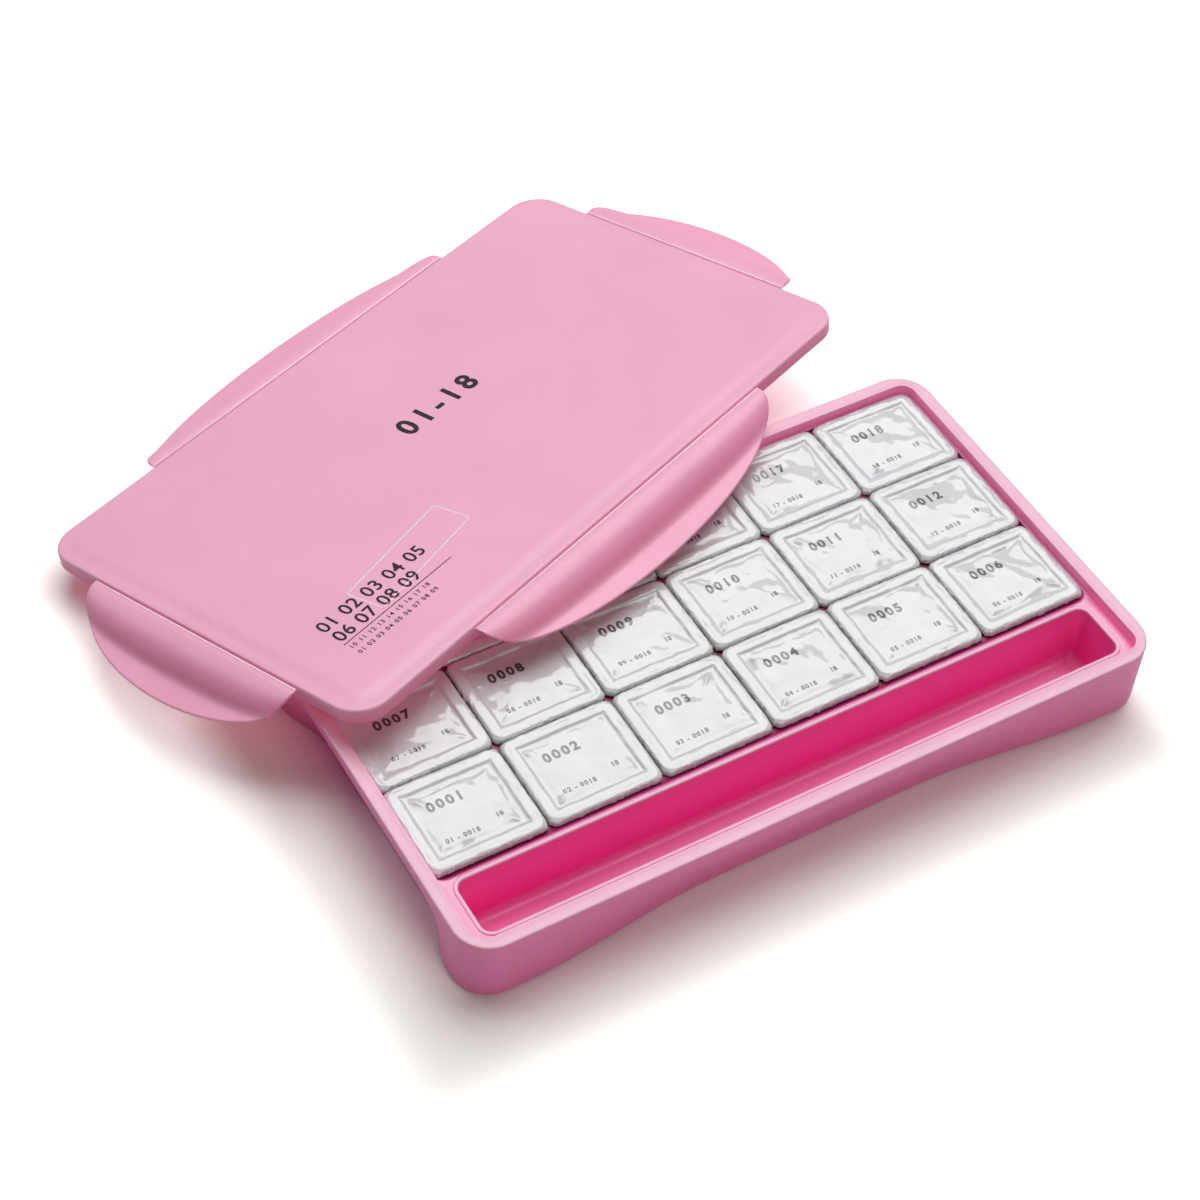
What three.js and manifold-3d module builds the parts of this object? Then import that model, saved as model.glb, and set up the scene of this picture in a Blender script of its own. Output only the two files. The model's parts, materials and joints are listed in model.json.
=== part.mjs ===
// A boxed set of gouache: a pink moulded tray with sealed cups of paint and a brush trough,
// and its lid, which is off and leans across the tray with its four latch flaps spread.
// Millimetres, +Z up. The origin is the centre of the tray's flat bottom face.

import * as THREE from 'three';
import { mergeVertices } from 'three/addons/utils/BufferGeometryUtils.js';
import Module from 'manifold-3d';

const wasm = await Module();
wasm.setup();

// Tray, outside
const trayLength = 320;
const trayWidth = 182;
const trayHeight = 33;
const trayCornerRadius = 15.5;
const baseEdgeRadius = 2.6;
const rimEdgeRadius = 0.7;
const rimWidth = 6;
const rimInnerRadius = 6;

// Hollows in the tray's walls, which the lid's flaps hook into. Each runs at full depth along a
// share of its side, and fades out within a longer share.
const longScoopDepth = 7;
const longScoopFlatShare = 0.344;
const longScoopFullShare = 0.8125;
const shortScoopDepth = 7.8;
const shortScoopFlatShare = 0.505;
const shortScoopFullShare = 0.78;
const scoopFloorHeight = 6;
const scoopTopDrop = 3;

// Tray, inside
const ledgeDrop = 7.5;
const floorThickness = 1.8;
const troughWidth = 26;
const troughFrontWall = 10.5;
const troughEndWall = 12.2;
const troughCornerRadius = 4.6;
const troughDraft = 2.5;
const troughFloorRadius = 2.2;
const troughLipWidth = 2;
const troughLipHeight = 2.5;
const troughLipGap = 3.5;

// Hollows under the tray's four corners
const skinThickness = 2.2;
const wellWall = 1.8;
const cornerHollowRoof = 3.5;
const cornerHollowMargin = 4;

// Cups, in columns along the tray and rows across it
const cupColumns = 6;
const cupRows = 3;
const columnSpacing = 0.73;
const rowSpacing = 0.6;
const cupDepth = 23.4;
const cupTaper = 3;
const cupCornerRadius = 6.5;
const cupBaseCornerRadius = 5;
const cupWall = 0.8;
const flangeWidth = 2.2;
const flangeThickness = 1.2;
const wellClearance = 0.6;
const seatGap = 0.3;

// Foil seals
const foilCornerRadius = 5.5;
const foilThickness = 0.3;
const foilGap = 0.1;
const foilBorderWidth = 3.4;
const foilBorderHeight = 0.5;
const foilBorderSlope = 0.7;
const foilWallGap = 0.5;
const foilEndGap = 0.675;

// Paint in the cups
const paintGap = 0.3;
const paintHeadroom = 1.6;

// Lid
const lidLengthMargin = -2.7;
const lidWidthMargin = 0.4;
const lidCornerRadius = 15;
const lidThickness = 2.2;
const skirtDepth = 7;
const skirtThickness = 2;
const skirtChamfer = 0.6;
const lidEdgeRadius = 0.8;
const plugDrop = 4.2;
const plugThickness = 1.8;
const plugClearance = 0.5;
const panelInset = 8.6;
const panelSlope = 2;
const panelHeight = 0.45;

// Flaps and the crease that each one folds along
const creaseOffset = 1.3;
const creaseDrop = 0.8;
const creaseGap = 0.3;
const creaseThickness = 0.4;
const stripThickness = 1.2;
const longFlapShare = 0.589;
const shortFlapShare = 0.628;
const flapReach = 29.7;
const pressedFlapReach = 26.5;
const flapThickness = 1.4;
const flapTaperLength = 2.6;

// A flap's curve from the crease to its lip, as shares of its reach: outwards, and up. It bows
// out over the tray's rim, turns in to a groove and flares to a finger lip. The back flap's lip
// is pressed flat by the table that it rests on.
const flapCurveShares = [
  [0, 0], [0.123, 0.056], [0.267, 0.074], [0.4, 0.008],
  [0.514, -0.075], [0.605, -0.086], [0.797, -0.05], [1, 0]];
const pressedFlapCurveShares = [
  [0, 0], [0.144, 0.048], [0.306, 0.05], [0.433, -0.032],
  [0.536, -0.111], [0.64, -0.117], [0.82, -0.062], [1, 0]];
const flapOutlinePower = 0.45;

// How the lid lies across the tray: its turns in degrees, and its centre as shares of the tray's
// length and width
const lidYaw = 20.82;
const lidPitch = 1.17;
const lidRoll = -10.59;
const lidCentreLengthShare = -0.1116;
const lidCentreWidthShare = 0.8407;

// Each flap's angle below the lid's face, in degrees
const frontFlapAngle = 30;
const backFlapAngle = 18.7;
const leftFlapAngle = 29;
const rightFlapAngle = 15;

// Facets, and the amount by which a cut runs past a face
const cornerSteps = 5;
const cupCornerSteps = 3;
const curveSteps = 14;
const outlineSteps = 32;
const wallSteps = 5;
const longScoopSteps = 6;
const shortScoopSteps = 4;
const restTolerance = 0.01;
const overrun = 1;

const longScoopFlatLength = longScoopFlatShare * trayLength;
const longScoopFullLength = longScoopFullShare * trayLength;
const shortScoopFlatLength = shortScoopFlatShare * trayWidth;
const shortScoopFullLength = shortScoopFullShare * trayWidth;
const ledgeHeight = trayHeight - ledgeDrop;
const flangeBottom = ledgeHeight + seatGap;
const troughTop = ledgeHeight + troughLipHeight;
const troughLength = trayLength - 2 * troughEndWall;
const troughCentreY = troughFrontWall + troughWidth / 2 - trayWidth / 2;

// The seals fill the tray between its end walls, and from the trough's lip to the back wall
const sealsLength = trayLength - 2 * (rimWidth + foilEndGap);
const sealsFrontY = troughCentreY + troughWidth / 2 + troughLipWidth + troughLipGap;
const sealsBackY = trayWidth / 2 - rimWidth - foilWallGap;
const columnPitch = (sealsLength + columnSpacing) / cupColumns;
const rowPitch = (sealsBackY - sealsFrontY + rowSpacing) / cupRows;
const foilLength = columnPitch - columnSpacing;
const foilWidth = rowPitch - rowSpacing;
const cupLength = foilLength - 2 * flangeWidth;
const cupWidth = foilWidth - 2 * flangeWidth;
const backRowY = sealsBackY - foilWidth / 2;

const lidLength = trayLength + lidLengthMargin;
const lidWidth = trayWidth + lidWidthMargin;
const longFlapLength = longFlapShare * lidLength;
const shortFlapLength = shortFlapShare * lidWidth;
const lidCentreX = lidCentreLengthShare * trayLength;
const lidCentreY = lidCentreWidthShare * trayWidth;

// Outlines

function roundedRectangle(length, width, radius, steps) {
  const points = [];
  for (let corner = 0; corner < 4; corner += 1) {
    const sideX = corner === 0 || corner === 3 ? 1 : -1;
    const sideY = corner < 2 ? 1 : -1;
    for (let step = 0; step <= steps; step += 1) {
      const angle = (corner + step / steps) * Math.PI / 2;
      points.push(new THREE.Vector2(
        sideX * (length / 2 - radius) + radius * Math.cos(angle),
        sideY * (width / 2 - radius) + radius * Math.sin(angle)));
    }
  }
  return points;
}

function smooth(share) {
  const clamped = Math.min(Math.max(share, 0), 1);
  return clamped * clamped * (3 - 2 * clamped);
}

// How far a scoop has faded at a distance from the middle of its side: 1 is full depth, 0 is none
function scoopShare(distance, flatLength, fullLength) {
  return 1 - smooth((2 * Math.abs(distance) - flatLength) / (fullLength - flatLength));
}

function scoopStations(flatLength, fullLength, steps) {
  const stations = [];
  for (let step = 0; step <= steps; step += 1) {
    stations.push(-(fullLength + (flatLength - fullLength) * step / steps) / 2);
  }
  return [...stations, ...stations.map((place) => -place).reverse()];
}

// The tray's outer outline at one height, drawn in by the scoops and by an inset
function trayOutline(depthShare, inset) {
  const radius = trayCornerRadius - inset;
  const halfLength = trayLength / 2 - inset;
  const halfWidth = trayWidth / 2 - inset;
  const longStations = scoopStations(longScoopFlatLength, longScoopFullLength, longScoopSteps);
  const shortStations = scoopStations(shortScoopFlatLength, shortScoopFullLength, shortScoopSteps);
  const longDepth = (place) => depthShare * longScoopDepth
    * scoopShare(place, longScoopFlatLength, longScoopFullLength);
  const shortDepth = (place) => depthShare * shortScoopDepth
    * scoopShare(place, shortScoopFlatLength, shortScoopFullLength);
  const corners = roundedRectangle(2 * halfLength, 2 * halfWidth, radius, cornerSteps);
  const count = cornerSteps + 1;
  const back = longStations.map((x) => new THREE.Vector2(-x, halfWidth - longDepth(x)));
  const front = longStations.map((x) => new THREE.Vector2(x, longDepth(x) - halfWidth));
  const left = shortStations.map((y) => new THREE.Vector2(shortDepth(y) - halfLength, -y));
  const right = shortStations.map((y) => new THREE.Vector2(halfLength - shortDepth(y), y));
  return [
    ...corners.slice(0, count), ...back,
    ...corners.slice(count, 2 * count), ...left,
    ...corners.slice(2 * count, 3 * count), ...front,
    ...corners.slice(3 * count), ...right];
}

// Solids

// One closed solid from rings of points at their heights. The first ring is closed by a face
// that looks down and the last by one that looks up, so the rings run up the outside of a
// shape and may turn over its edge and down the inside.
function ringSolid(rings) {
  const positions = [];
  const indices = [];
  const count = rings[0].outline.length;
  for (const ring of rings) {
    for (const point of ring.outline) {
      positions.push(point.x, point.y, ring.height);
    }
  }
  for (let level = 0; level + 1 < rings.length; level += 1) {
    for (let step = 0; step < count; step += 1) {
      const next = (step + 1) % count;
      const low = level * count;
      const high = low + count;
      indices.push(low + step, low + next, high + next);
      indices.push(low + step, high + next, high + step);
    }
  }
  const topStart = (rings.length - 1) * count;
  for (const face of THREE.ShapeUtils.triangulateShape(rings[0].outline, [])) {
    indices.push(face[2], face[1], face[0]);
  }
  for (const face of THREE.ShapeUtils.triangulateShape(rings[rings.length - 1].outline, [])) {
    indices.push(topStart + face[0], topStart + face[1], topStart + face[2]);
  }
  const geometry = new THREE.BufferGeometry();
  geometry.setAttribute('position', new THREE.Float32BufferAttribute(positions, 3));
  geometry.setIndex(indices);
  return geometry;
}

function block(outline, low, high) {
  return ringSolid([{ outline, height: low }, { outline, height: high }]);
}

function toManifold(geometry) {
  const bare = geometry.clone();
  bare.deleteAttribute('normal');
  bare.deleteAttribute('uv');
  const merged = mergeVertices(bare);
  return new wasm.Manifold(new wasm.Mesh({
    numProp: 3,
    vertProperties: new Float32Array(merged.attributes.position.array),
    triVerts: new Uint32Array(merged.index.array) }));
}

function fromManifold(solid) {
  const mesh = solid.getMesh();
  const geometry = new THREE.BufferGeometry();
  geometry.setAttribute('position', new THREE.BufferAttribute(new Float32Array(mesh.vertProperties), 3));
  geometry.setIndex(new THREE.BufferAttribute(new Uint32Array(mesh.triVerts), 1));
  return geometry;
}

function moved(geometry, x, y) {
  return geometry.translate(x, y, 0);
}

// Tray

function trayShell() {
  const heightShare = (height) => 1 - smooth(
    (height - scoopFloorHeight) / (trayHeight - scoopTopDrop - scoopFloorHeight));
  const level = (height, inset) => ({ height, outline: trayOutline(heightShare(height), inset) });
  const rings = [
    level(0, baseEdgeRadius),
    level(baseEdgeRadius * (1 - Math.cos(Math.PI / 4)), baseEdgeRadius * (1 - Math.sin(Math.PI / 4))),
    level(baseEdgeRadius, 0)];
  const wallBottom = scoopFloorHeight;
  const wallTop = trayHeight - scoopTopDrop;
  for (let step = 0; step <= wallSteps; step += 1) {
    rings.push(level(wallBottom + (wallTop - wallBottom) * step / wallSteps, 0));
  }
  rings.push(level(trayHeight - rimEdgeRadius, 0), level(trayHeight, rimEdgeRadius));
  return ringSolid(rings);
}

function rimOpening() {
  const outline = roundedRectangle(
    trayLength - 2 * rimWidth, trayWidth - 2 * rimWidth, rimInnerRadius, cornerSteps);
  return block(outline, ledgeHeight, trayHeight + overrun);
}

function troughLip() {
  const grown = 2 * troughLipWidth;
  const outline = roundedRectangle(
    troughLength + grown, troughWidth + grown, troughCornerRadius + troughLipWidth, cornerSteps);
  return moved(block(outline, ledgeHeight - overrun, troughTop), 0, troughCentreY);
}

function troughHollow() {
  const level = (height, inset) => ({
    height,
    outline: roundedRectangle(
      troughLength - 2 * inset, troughWidth - 2 * inset, troughCornerRadius, cornerSteps) });
  return moved(ringSolid([
    level(floorThickness, troughDraft + troughFloorRadius),
    level(floorThickness + troughFloorRadius, troughDraft),
    level(troughTop, 0),
    level(troughTop + overrun, 0)]), 0, troughCentreY);
}

// The outline of a cup's body, grown by a margin, at a share of its depth above its base
function cupOutline(depthShare, margin) {
  const drawnIn = cupTaper * (1 - depthShare);
  const radius = cupBaseCornerRadius + (cupCornerRadius - cupBaseCornerRadius) * depthShare;
  return roundedRectangle(
    cupLength + 2 * (margin - drawnIn), cupWidth + 2 * (margin - drawnIn),
    radius + margin, cupCornerSteps);
}

function wellHollow(place) {
  const wellBottom = flangeBottom - cupDepth - wellClearance;
  return moved(ringSolid([
    { height: wellBottom, outline: cupOutline(0, wellClearance) },
    { height: ledgeHeight, outline: cupOutline(1, wellClearance) },
    { height: ledgeHeight + overrun, outline: cupOutline(1, wellClearance) }]), place.x, place.y);
}

// The four hollows that lighten the tray's corners from below
function cornerHollows() {
  const roof = ledgeHeight - cornerHollowRoof;
  const outer = toManifold(block(roundedRectangle(
    trayLength - 2 * skinThickness, trayWidth - 2 * skinThickness,
    trayCornerRadius - skinThickness, cornerSteps), -overrun, roof));
  const wellsHalfLength = (cupColumns - 1) / 2 * columnPitch + cupLength / 2 + wellClearance + wellWall;
  const wellsHalfWidth = backRowY + cupWidth / 2 + wellClearance + wellWall;
  const inner = toManifold(block(roundedRectangle(
    2 * wellsHalfLength, 2 * wellsHalfWidth, trayCornerRadius / 2, cornerSteps),
  -2 * overrun, roof + overrun));
  const crossing = (length, width) => toManifold(block(
    roundedRectangle(length, width, overrun, cupCornerSteps), -2 * overrun, roof + overrun));
  return outer
    .subtract(inner)
    .subtract(crossing(longScoopFullLength + 2 * cornerHollowMargin, trayWidth))
    .subtract(crossing(trayLength, shortScoopFullLength + 2 * cornerHollowMargin));
}

function cupPlaces() {
  const places = [];
  for (let row = 0; row < cupRows; row += 1) {
    for (let column = 0; column < cupColumns; column += 1) {
      places.push({
        x: (column - (cupColumns - 1) / 2) * columnPitch,
        y: backRowY - (cupRows - 1 - row) * rowPitch });
    }
  }
  return places;
}

function trayGeometry() {
  let solid = toManifold(trayShell())
    .subtract(toManifold(rimOpening()))
    .add(toManifold(troughLip()))
    .subtract(toManifold(troughHollow()));
  for (const place of cupPlaces()) {
    solid = solid.subtract(toManifold(wellHollow(place)));
  }
  return fromManifold(solid.subtract(cornerHollows()));
}

// Cups

function cupGeometry() {
  const flangeMargin = foilThickness + foilGap;
  const flange = roundedRectangle(
    foilLength - 2 * flangeMargin, foilWidth - 2 * flangeMargin,
    foilCornerRadius - flangeMargin, cupCornerSteps);
  return ringSolid([
    { height: -cupDepth, outline: cupOutline(0, 0) },
    { height: 0, outline: cupOutline(1, 0) },
    { height: 0, outline: flange },
    { height: flangeThickness, outline: flange },
    { height: flangeThickness, outline: cupOutline(1, -cupWall) },
    { height: cupWall - cupDepth, outline: cupOutline(0, -cupWall) }]);
}

function paintGeometry() {
  const margin = -cupWall - paintGap;
  return ringSolid([
    { height: cupWall + paintGap - cupDepth, outline: cupOutline(0, margin) },
    { height: -paintHeadroom, outline: cupOutline(1 - paintHeadroom / cupDepth, margin) }]);
}

// The seal: a flat sheet with a raised border, turned down round the cup's flange
function foilGeometry() {
  const level = (height, inset) => ({
    height,
    outline: roundedRectangle(
      foilLength - 2 * inset, foilWidth - 2 * inset, foilCornerRadius - inset, cupCornerSteps) });
  const underside = flangeThickness + foilGap;
  const panel = underside + foilThickness;
  return ringSolid([
    level(underside, foilThickness),
    level(0, foilThickness),
    level(0, 0),
    level(panel + foilBorderHeight, 0),
    level(panel + foilBorderHeight, foilBorderWidth),
    level(panel, foilBorderWidth + foilBorderSlope)]);
}

// Lid

function lidOutline(inset) {
  return roundedRectangle(
    lidLength - 2 * inset, lidWidth - 2 * inset, Math.max(lidCornerRadius - inset, skirtThickness),
    cornerSteps + 1);
}

// The ring under the lid that drops inside the tray's rim
const plugInset = rimWidth + plugClearance - (trayLength - lidLength) / 2;

function lidPlateGeometry() {
  const level = (height, inset) => ({ height, outline: lidOutline(inset) });
  const plate = toManifold(ringSolid([
    level(-lidThickness, plugInset + plugThickness),
    level(-skirtDepth - plugDrop, plugInset + plugThickness),
    level(-skirtDepth - plugDrop, plugInset),
    level(-lidThickness, plugInset),
    level(-lidThickness, skirtThickness),
    level(-skirtDepth, skirtThickness),
    level(-skirtDepth, skirtChamfer),
    level(skirtChamfer - skirtDepth, 0),
    level(-lidEdgeRadius, 0),
    level(0, lidEdgeRadius),
    level(0, panelInset),
    level(panelHeight, panelInset + panelSlope)]));
  const longStrip = () => creaseStrip(longFlapLength);
  const shortStrip = () => creaseStrip(shortFlapLength);
  const placed = (strip, angle, distance) => toManifold(
    strip.translate(0, distance, 0).rotateZ(angle));
  return fromManifold(plate
    .add(placed(longStrip(), 0, lidWidth / 2))
    .add(placed(longStrip(), Math.PI, lidWidth / 2))
    .add(placed(shortStrip(), Math.PI / 2, lidLength / 2))
    .add(placed(shortStrip(), -Math.PI / 2, lidLength / 2)));
}

// Turns a shape drawn as (outwards, up) and pulled along its third axis so that it lies with
// its length along X, outwards along Y and up along Z
function alongX(geometry, length) {
  const turn = new THREE.Matrix4().makeBasis(
    new THREE.Vector3(0, 1, 0), new THREE.Vector3(0, 0, 1), new THREE.Vector3(1, 0, 0));
  return geometry.applyMatrix4(turn).translate(-length / 2, 0, 0);
}

// The edge that stands out from the lid's side and thins down to the crease
function creaseStrip(length) {
  const shape = new THREE.Shape();
  shape.moveTo(-skirtThickness / 2, -creaseDrop - stripThickness / 2);
  shape.lineTo(0, -creaseDrop - stripThickness / 2);
  shape.lineTo(creaseOffset - creaseGap, -creaseDrop - creaseThickness / 2);
  shape.lineTo(creaseOffset - creaseGap, -creaseDrop + creaseThickness / 2);
  shape.lineTo(0, -creaseDrop + stripThickness / 2);
  shape.lineTo(-skirtThickness / 2, -creaseDrop + stripThickness / 2);
  const pulled = new THREE.ExtrudeGeometry(shape, { depth: length, bevelEnabled: false });
  return alongX(pulled, length);
}

// Flaps

// Half the flap's thickness, which thins down towards the crease
function flapHalfThickness(distance) {
  const share = Math.min(distance / flapTaperLength, 1);
  return (creaseThickness + (flapThickness - creaseThickness) * share) / 2;
}

function flapSection(curveShares, reach) {
  const curve = new THREE.SplineCurve(curveShares.map(
    ([outwards, up]) => new THREE.Vector2(outwards * reach, up * reach)));
  const upper = [];
  const lower = [];
  for (let step = 0; step <= curveSteps; step += 1) {
    const start = creaseGap / reach;
    const share = start + (1 - start) * step / curveSteps;
    const point = curve.getPoint(share);
    const tangent = curve.getTangent(share);
    const half = flapHalfThickness(point.x);
    upper.push(new THREE.Vector2(point.x - tangent.y * half, point.y + tangent.x * half));
    lower.push(new THREE.Vector2(point.x + tangent.y * half, point.y - tangent.x * half));
  }
  return new THREE.Shape([...lower, ...upper.reverse()]);
}

// The flap's outline from above: a bow with full ends, deepest in the middle
function flapOutline(length, reach) {
  const shape = new THREE.Shape();
  shape.moveTo(-length / 2, -overrun);
  shape.lineTo(length / 2, -overrun);
  for (let step = 0; step <= outlineSteps; step += 1) {
    const across = Math.cos(Math.PI * step / outlineSteps);
    const bow = reach * (1 - across * across) ** flapOutlinePower;
    shape.lineTo(across * length / 2, Math.max(bow, creaseGap + flapThickness));
  }
  return shape;
}

function flapGeometry(length, curveShares, reach) {
  const section = new THREE.ExtrudeGeometry(
    flapSection(curveShares, reach), { depth: length, bevelEnabled: false });
  const outline = new THREE.ExtrudeGeometry(
    flapOutline(length, reach), { depth: 2 * reach, bevelEnabled: false });
  outline.translate(0, 0, -reach);
  return fromManifold(toManifold(alongX(section, length)).intersect(toManifold(outline)));
}

// The lid's pose

const lidTurn = new THREE.Euler(
  THREE.MathUtils.degToRad(lidRoll), THREE.MathUtils.degToRad(lidPitch),
  THREE.MathUtils.degToRad(lidYaw), 'ZYX');

// The height of the lid's face at its centre when it has come down to rest on the tray
function lidRestHeight(plate, tray) {
  const turn = new THREE.Matrix4().makeRotationFromEuler(lidTurn);
  const turned = toManifold(plate.clone().applyMatrix4(turn)).translate([lidCentreX, lidCentreY, 0]);
  const support = toManifold(tray);
  let low = 0;
  let high = 2 * trayHeight;
  while (high - low > restTolerance) {
    const middle = (low + high) / 2;
    if (turned.translate([0, 0, middle]).minGap(support, trayHeight) > seatGap) {
      high = middle;
    } else {
      low = middle;
    }
  }
  return high;
}

// Assembly

const lidPink = { color: 0xecacc8, roughness: 0.42, metalness: 0 };
const trayPink = { color: 0xf0b4ce, roughness: 0.4, metalness: 0 };
const cupWhite = { color: 0xf2f2f2, roughness: 0.35, metalness: 0 };
const foilWhite = { color: 0xe9ebec, roughness: 0.25, metalness: 0.3 };
const paintColours = [
  0xf6f6f2, 0xf7dc3c, 0xf2b41e, 0xe9731c, 0xd8322a, 0xe0527c, 0x8e2f6a, 0x5b3b8e, 0x27408f,
  0x1f6fb4, 0x35a5c8, 0x1f8a5c, 0x6cb33f, 0xb9c95a, 0xc98a3c, 0x7a4a2b, 0x4a4a4c, 0x161616];

function piece(name, geometry, look) {
  const flat = geometry.clone();
  flat.computeVertexNormals();
  const mesh = new THREE.Mesh(flat, new THREE.MeshStandardMaterial(look));
  mesh.name = name;
  return mesh;
}

function addCups(set) {
  const cup = cupGeometry();
  const paint = paintGeometry();
  const foil = foilGeometry();
  cupPlaces().forEach((place, index) => {
    const number = String(index + 1).padStart(2, '0');
    const group = new THREE.Group();
    group.position.set(place.x, place.y, flangeBottom);
    const paintLook = { color: paintColours[index], roughness: 0.5, metalness: 0 };
    group.add(piece(`cup_${number}`, cup, cupWhite));
    group.add(piece(`paint_${number}`, paint, paintLook));
    group.add(piece(`foil_${number}`, foil, foilWhite));
    set.add(group);
  });
}

function addFlap(lid, name, geometry, side, distance, angle) {
  const group = new THREE.Group();
  group.rotation.z = side;
  const flap = piece(name, geometry, lidPink);
  flap.position.set(0, distance + creaseOffset, -creaseDrop);
  flap.rotation.x = -THREE.MathUtils.degToRad(angle);
  group.add(flap);
  lid.add(group);
}

function addLid(set, tray) {
  const lid = new THREE.Group();
  const plate = lidPlateGeometry();
  lid.rotation.copy(lidTurn);
  lid.position.set(lidCentreX, lidCentreY, lidRestHeight(plate, tray));
  lid.add(piece('lid_plate', plate, lidPink));
  const longFlap = flapGeometry(longFlapLength, flapCurveShares, flapReach);
  const shortFlap = flapGeometry(shortFlapLength, flapCurveShares, flapReach);
  const pressedFlap = flapGeometry(longFlapLength, pressedFlapCurveShares, pressedFlapReach);
  addFlap(lid, 'lid_flap_back', pressedFlap, 0, lidWidth / 2, backFlapAngle);
  addFlap(lid, 'lid_flap_front', longFlap, Math.PI, lidWidth / 2, frontFlapAngle);
  addFlap(lid, 'lid_flap_left', shortFlap, Math.PI / 2, lidLength / 2, leftFlapAngle);
  addFlap(lid, 'lid_flap_right', shortFlap, -Math.PI / 2, lidLength / 2, rightFlapAngle);
  set.add(lid);
}

const gouacheSet = new THREE.Group();
const traySolid = trayGeometry();
gouacheSet.add(piece('tray', traySolid, trayPink));
addCups(gouacheSet);
addLid(gouacheSet, traySolid);

export default gouacheSet;
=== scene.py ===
"""Looks for a boxed set of gouache: a pink moulded tray of foil-sealed cups with a brush trough,
and its lid, which leans across the tray with its four latch flaps spread.
Shapes are drawn in millimetres and turned into metres when a piece is made."""

import json
import math
import random

import bmesh
import bpy
from mathutils import Matrix, Vector, noise
from mathutils.geometry import tessellate_polygon


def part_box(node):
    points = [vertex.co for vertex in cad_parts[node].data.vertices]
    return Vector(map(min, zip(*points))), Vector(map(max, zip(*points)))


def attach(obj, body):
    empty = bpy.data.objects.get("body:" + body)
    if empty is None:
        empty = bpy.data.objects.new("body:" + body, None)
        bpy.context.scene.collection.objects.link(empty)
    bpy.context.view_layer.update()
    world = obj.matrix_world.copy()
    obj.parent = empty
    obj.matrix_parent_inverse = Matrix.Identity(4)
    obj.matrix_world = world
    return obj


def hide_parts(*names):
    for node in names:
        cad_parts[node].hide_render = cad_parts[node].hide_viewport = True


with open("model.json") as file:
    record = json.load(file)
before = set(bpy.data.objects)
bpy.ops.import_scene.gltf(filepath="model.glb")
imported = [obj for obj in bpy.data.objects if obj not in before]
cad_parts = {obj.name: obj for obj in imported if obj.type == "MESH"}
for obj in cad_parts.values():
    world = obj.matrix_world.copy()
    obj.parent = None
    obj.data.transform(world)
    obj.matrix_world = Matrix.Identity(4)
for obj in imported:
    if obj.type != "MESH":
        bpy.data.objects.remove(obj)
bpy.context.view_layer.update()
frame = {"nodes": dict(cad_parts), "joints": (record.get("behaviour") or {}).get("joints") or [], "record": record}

MM = 0.001

# The camera, at the place that the photograph was taken from
IMAGE_SIDE = 1200
FOCAL_PIXELS = 2653.55
SENSOR_WIDTH = 36
CAMERA_PLACE = Vector((-424.32, -552.92, 851.75))
CAMERA_RIGHT = Vector((0.8634, -0.5018, 0.0528))
CAMERA_UP = Vector((0.3504, 0.6716, 0.6528))

# Tray
CORNER_RADIUS = 15.5
BASE_EDGE = 2.6
RIM_EDGE = 0.7
# Painted shade: how much deeper the outer walls' pink is painted, at their foot and at their top
WALL_SHADE_DEPTHS = (0.66, 0.6)
WALL_STEPS = 18
RIM_WIDTH = 6
RIM_STEP_WIDTH = 1.4
RIM_STEP_SLOPE = 0.25
RIM_STEP_DEPTH = 0.14
RIM_INNER_EDGE = 0.4
RIM_INNER_RADIUS = 6
# Painted glow on the rim's inner edge and at its foot, as depths below zero
RIM_INNER_EDGE_GLOW = -0.2
# Fall below the rim's step, and depth, down the rim's inner wall; these depths are below zero, a painted glow
RIM_INNER_WALL = ((RIM_INNER_EDGE + 0.3, -0.55), (1.6, -0.7))
RIM_FOOT_GLOW = -0.75
SURROUND_DROP = 5.4
FIELD_MARGIN = 0.15
FIELD_DEPTH = 2.1
FIELD_EDGE = 0.35
FIELD_SLOPE = 2.2
WELL_MOUTH_DROP = 7.5
FLOOR_THICKNESS = 1.8
LONG_SCOOP_DEPTH = 7
LONG_SCOOP_SHARES = (0.3, 0.85)
SHORT_SCOOP_DEPTH = 7.8
SHORT_SCOOP_SHARES = (0.505, 0.78)
SCOOP_FLOOR = 6
SCOOP_TOP_DROP = 3
TROUGH_WIDTH = 26
TROUGH_FRONT_WALL = 10.5
TROUGH_END_WALL = 12.2
TROUGH_RADIUS = 4.6
TROUGH_DRAFT = 2.5
TROUGH_FILLET = 3.4
LIP_WIDTH = 1.9
LIP_HEIGHT = 0.4
LIP_EDGE = 0.7
LIP_SLOPE = 0.4
LIP_LINE_WIDTH = 0.2
LIP_LINE_DEPTH = 0.15
TROUGH_WALL_TOP = 0.4
TROUGH_WALL_STEPS = 5
# Painted shade and bounce light: how deep the trough's pink is painted at the top of its wall, at its foot and on
# its floor
TROUGH_SHADE_DEPTHS = (0.9, 1.0, 0.72)
SKIN_THICKNESS = 3.2
HOLLOW_ROOF_DROP = 13
HOLLOW_MARGIN = 4
WELL_WALL = 1.8

# Cups and their seals
CUP_COUNT = 18
FLANGE_WIDTH = 2.2
CUP_TAPER = 3
CUP_RADII = (5, 6.5)
CUP_BASE_EDGE = 1.6
CUP_WALL = 0.8
CUP_LIP_EDGE = (0.15, 0.1)
WELL_CLEARANCE = 0.6
WELL_EDGE = 0.4
# Painted shade: how deep the painted dark wine is at each level down a well, from its mouth to its floor
WELL_SHADE_DEPTHS = (1.6, 1.6, 1.2, 1.0)
FLANGE_MARGIN = 0.5
FOIL_RADIUS = 5.5

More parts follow.
